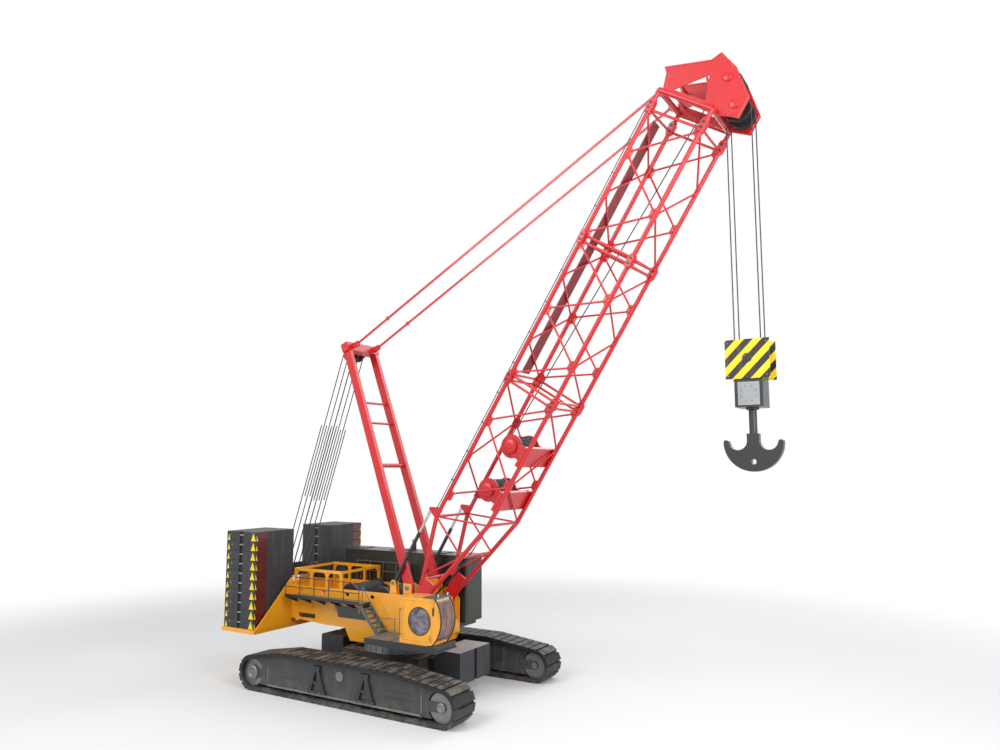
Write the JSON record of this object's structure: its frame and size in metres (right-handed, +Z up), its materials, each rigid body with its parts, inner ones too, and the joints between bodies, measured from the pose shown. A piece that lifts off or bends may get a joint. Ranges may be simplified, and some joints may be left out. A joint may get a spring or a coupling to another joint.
{
  "type": "crawler crane",
  "caption": "Crawler crane with a lattice boom, live mast, slab counterweights, side cab and a ramshorn hook block; slews, luffs and turns its hook.",
  "frame": {"origin": "on the ground under the slewing centre", "axes": "+X forward over the boom, +Y to the left, +Z up"},
  "size_m": [27.6664, 9.63, 28.2189],
  "materials": {
    "yellow": "gloss orange-yellow machine paint",
    "red": "gloss red boom paint",
    "grey": "dark grey satin paint",
    "black": "black satin paint",
    "stone": "mid grey paint",
    "track": "worn dark cast shoes",
    "steel": "worn bare steel",
    "rope": "greased wire rope",
    "olive": "dark olive-black housing paint",
    "hazard": "yellow and black diagonal stripes",
    "glass": "tinted glass",
    "seat": "dark seat cover"
  },
  "bodies": {
    "undercarriage": {"carbody": "grey", "carbody_counterweight_front": "grey", "carbody_counterweight_rear": "grey", "slew_ring": "stone", "track_frame_right": "grey", "track_frame_left": "grey", "track_right": "track", "track_left": "track", "track_wheels_right": "grey", "track_wheels_left": "grey"},
    "superstructure": {"revolving_frame": "yellow", "counterweight_tray": "yellow", "counterweight_slabs_right": "grey", "counterweight_slabs_left": "grey", "walkway_right": "stone", "side_platform_right": "black", "stair_right": "stone", "power_pack_housing": "olive", "side_platform_left": "black", "engine_block": "steel", "rope_frame": "yellow", "frame_winches": "black", "cab_shell": "yellow", "cab_glass": "glass", "cab_seat": "seat", "luffing_sheaves_lower": "black"},
    "cab_door": {"cab_door": "yellow", "cab_door_glass": "glass"},
    "boom": {"boom_foot_section": "red", "boom_lower_section": "red", "boom_upper_section": "red", "boom_head": "red", "head_sheaves": "black", "boom_winches": "red", "boom_walkway": "red", "pendants": "red"},
    "mast": {"mast": "red", "luffing_sheaves_upper": "black"},
    "luffing_ropes_lower": {"luffing_ropes_lower": "rope"},
    "luffing_ropes_upper": {"luffing_ropes_upper": "rope"},
    "backstop_barrels": {"backstop_barrels": "black"},
    "backstop_rods": {"backstop_rods": "steel"},
    "hook_block": {"hoist_ropes": "rope", "hook_block": "black", "hook_cheeks": "hazard"},
    "ramshorn_hook": {"ramshorn_hook": "black"}
  },
  "joints": [
    {"name": "slew", "type": "hinge", "parent": "undercarriage", "child": "superstructure", "pos_m": [0, 0, 2.14], "axis": [0, 0, 1], "continuous": true},
    {"name": "boom_luff", "type": "hinge", "parent": "superstructure", "child": "boom", "pos_m": [1.75, 0, 4], "axis": [0, -1, 0], "range_deg": [-28, 24]},
    {"name": "mast_tilt", "type": "hinge", "parent": "superstructure", "child": "mast", "pos_m": [1.21, 0, 4.95], "axis": [0, -1, 0], "range_deg": [-30.18, 25.87]},
    {"name": "luffing_ropes_lower_swing", "type": "hinge", "parent": "superstructure", "child": "luffing_ropes_lower", "pos_m": [-7.75, 0, 5.15], "axis": [0, -1, 0], "range_deg": [-23.67, 20.29]},
    {"name": "luffing_ropes_upper_swing", "type": "hinge", "parent": "mast", "child": "luffing_ropes_upper", "pos_m": [-3.7279, 0, 16.9455], "axis": [0, -1, 0], "range_deg": [-5.6, 6.53]},
    {"name": "backstop_swing", "type": "hinge", "parent": "superstructure", "child": "backstop_barrels", "pos_m": [0.45, 0, 5.15], "axis": [0, -1, 0], "range_deg": [-29.73, 25.49]},
    {"name": "backstop_stroke", "type": "slide", "parent": "backstop_barrels", "child": "backstop_rods", "axis": [0.5176, 0, 0.8556], "range_m": [-0.7069, 0.824]},
    {"name": "hook_hang", "type": "hinge", "parent": "boom", "child": "hook_block", "pos_m": [17.7264, 0, 25.7487], "axis": [0, -1, 0], "range_deg": [-24.07, 28.08]},
    {"name": "hook_swivel", "type": "hinge", "parent": "hook_block", "child": "ramshorn_hook", "pos_m": [17.7264, 0, 13.19], "axis": [0, 0, 1], "continuous": true},
    {"name": "cab_door_hinge", "type": "hinge", "parent": "superstructure", "child": "cab_door", "pos_m": [2.476, -3.28, 3.9], "axis": [0, 0, -1], "range_deg": [0, 95]}
  ],
  "couplings": [
    {"joint": "mast_tilt", "follows": "boom_luff", "ratio": 1.075},
    {"joint": "luffing_ropes_lower_swing", "follows": "boom_luff", "ratio": 0.843},
    {"joint": "luffing_ropes_upper_swing", "follows": "boom_luff", "ratio": -0.232},
    {"joint": "backstop_swing", "follows": "boom_luff", "ratio": 1.059},
    {"joint": "backstop_stroke", "follows": "boom_luff", "m_per_rad": -1.678},
    {"joint": "hook_hang", "follows": "boom_luff", "ratio": -1}
  ]
}
